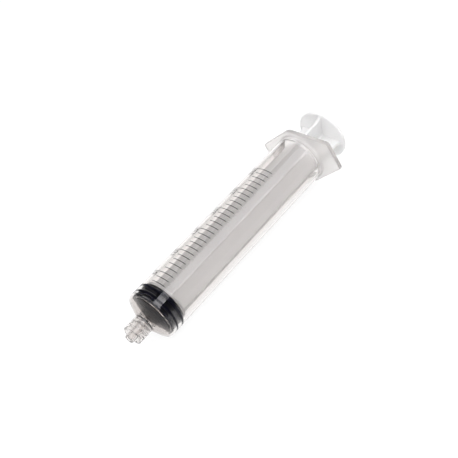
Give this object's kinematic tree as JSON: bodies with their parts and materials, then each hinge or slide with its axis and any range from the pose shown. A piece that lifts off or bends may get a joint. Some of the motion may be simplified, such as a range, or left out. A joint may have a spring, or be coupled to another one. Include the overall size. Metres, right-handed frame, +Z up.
{
  "type": "30 ml three-piece luer lock syringe",
  "caption": "Disposable luer lock syringe: clear graduated barrel with finger flange and lock collar, dark rubber stopper and cross-ribbed plunger rod that draws in and pushes out liquid.",
  "frame": {"origin": "centre of the underside of the overall box, on the table that the syringe lies on", "axes": "+X towards the thumb rest, +Z up with the scale on top; the syringe's own axis rises by 0.952 degrees from X, because it rests on its front corner and one long side of the finger flange"},
  "size_m": [0.138, 0.044, 0.0276],
  "materials": {
    "clear_polypropylene": "clear, slightly frosted",
    "stopper_rubber": "smooth with silicone oil",
    "white_polypropylene": "milky natural polypropylene"
  },
  "bodies": {
    "barrel": {"barrel": "clear_polypropylene"},
    "stopper": {"stopper": "stopper_rubber"},
    "plunger_rod": {"plunger_rod": "white_polypropylene"}
  },
  "joints": [
    {"name": "plunger_slide", "type": "slide", "parent": "barrel", "child": "stopper", "axis": [0.9999, 0, 0.0166], "range_m": [0, 0.0952]},
    {"name": "rod_turn", "type": "hinge", "parent": "stopper", "child": "plunger_rod", "pos_m": [-0.04718, 0, 0.01217], "axis": [0.9999, 0, 0.0166], "continuous": true}
  ]
}
